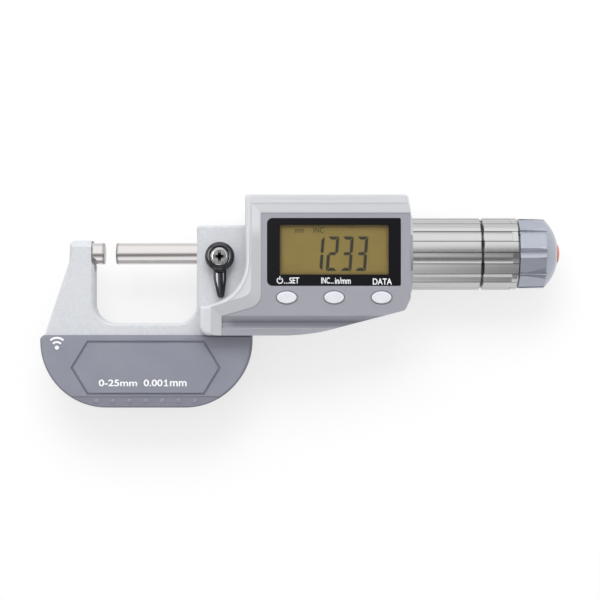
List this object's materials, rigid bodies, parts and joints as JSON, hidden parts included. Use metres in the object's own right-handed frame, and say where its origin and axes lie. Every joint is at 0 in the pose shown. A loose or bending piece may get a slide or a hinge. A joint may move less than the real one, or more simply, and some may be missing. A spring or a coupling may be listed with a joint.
{
  "type": "digital outside micrometer",
  "caption": "Digital outside micrometer with bow frame, display housing, lever lock, fluted thimble and ratchet knob.",
  "frame": {"origin": "centre of the anvil's measuring face, on the spindle axis", "axes": "+X along the spindle from the anvil to the knob, +Z out of the display, +Y to the display's top"},
  "size_m": [0.1574, 0.0645, 0.028],
  "materials": {
    "frame_paint": "light grey hammered stove enamel",
    "heat_plate": "dark grey moulded plastic",
    "carbide": "lapped carbide",
    "spindle_steel": "ground and polished steel",
    "thimble_steel": "satin turned steel",
    "sleeve_steel": "satin chromed steel",
    "brass": "turned brass",
    "housing_plastic": "silver grey moulded plastic",
    "window": "clear window with a printed black border",
    "lcd": "amber backlit liquid crystal panel",
    "light_guide": "translucent light guide",
    "board": "green circuit board",
    "button": "white moulded plastic",
    "lock_black": "polished black nickel",
    "screw_steel": "nickel plated steel",
    "knob_plastic": "blue grey moulded plastic",
    "cap": "orange red plastic",
    "seal": "black rubber",
    "cell": "nickel plated coin cell",
    "encoder": "glass fibre disc with copper electrodes"
  },
  "bodies": {
    "body": {"frame": "frame_paint", "anvil": "spindle_steel", "anvil_tip": "carbide", "front_heat_plate": "heat_plate", "rear_heat_plate": "heat_plate", "heat_plate_screws": "screw_steel", "spindle_seal": "seal", "lock_shoe": "brass", "inner_sleeve": "sleeve_steel", "outer_sleeve": "sleeve_steel", "adjusting_nut": "brass", "stator_disc": "encoder", "front_housing": "housing_plastic", "rear_housing": "housing_plastic", "housing_screws": "screw_steel", "display_window": "window", "lcd_panel": "lcd", "lcd_contacts": "seal", "backlight": "light_guide", "circuit_board": "board", "board_screws": "screw_steel", "keypad_membrane": "seal", "radio_module": "board", "coin_cell": "cell", "battery_contacts": "brass"},
    "rotor": {"rotor_disc": "encoder", "rotor_hub": "brass", "rotor_key": "spindle_steel"},
    "spindle_assembly": {"spindle": "spindle_steel", "spindle_tip": "carbide", "thimble": "thimble_steel", "ratchet_wheel": "spindle_steel", "ratchet_screw": "screw_steel"},
    "ratchet_knob": {"knob": "knob_plastic", "knob_end_cap": "cap", "ratchet_pawl": "spindle_steel", "spring_washer": "spindle_steel"},
    "lock": {"lock_lever": "lock_black", "lock_stud": "spindle_steel", "lock_screw": "screw_steel"},
    "set_key": {"set_button": "button"},
    "mode_key": {"mode_button": "button"},
    "data_key": {"data_button": "button"},
    "battery_door": {"battery_cover": "knob_plastic", "battery_seal": "seal"}
  },
  "joints": [
    {"name": "thimble_turn", "type": "hinge", "parent": "body", "child": "rotor", "pos_m": [0.0525, 0, 0], "axis": [1, 0, 0], "range_deg": [-2520.5, 15480.5]},
    {"name": "spindle_travel", "type": "slide", "parent": "rotor", "child": "spindle_assembly", "axis": [1, 0, 0], "range_m": [-0.0035, 0.0215]},
    {"name": "ratchet_turn", "type": "hinge", "parent": "spindle_assembly", "child": "ratchet_knob", "pos_m": [0.1305, 0, 0], "axis": [1, 0, 0], "continuous": true},
    {"name": "lock_turn", "type": "hinge", "parent": "body", "child": "lock", "pos_m": [0.0352, -0.001, 0.0075], "axis": [0, 0, 1], "range_deg": [-40, 0]},
    {"name": "battery_door_turn", "type": "hinge", "parent": "body", "child": "battery_door", "pos_m": [0.054, -0.011, -0.0134], "axis": [0, 0, 1], "range_deg": [0, 30]},
    {"name": "set_key_press", "type": "slide", "parent": "body", "child": "set_key", "axis": [0, 0, -1], "range_m": [0, 0.0005], "stiffness_N_per_m": 800},
    {"name": "mode_key_press", "type": "slide", "parent": "body", "child": "mode_key", "axis": [0, 0, -1], "range_m": [0, 0.0005], "stiffness_N_per_m": 800},
    {"name": "data_key_press", "type": "slide", "parent": "body", "child": "data_key", "axis": [0, 0, -1], "range_m": [0, 0.0005], "stiffness_N_per_m": 800}
  ],
  "couplings": [
    {"joint": "thimble_turn", "follows": "spindle_travel", "rad_per_m": 12566}
  ]
}
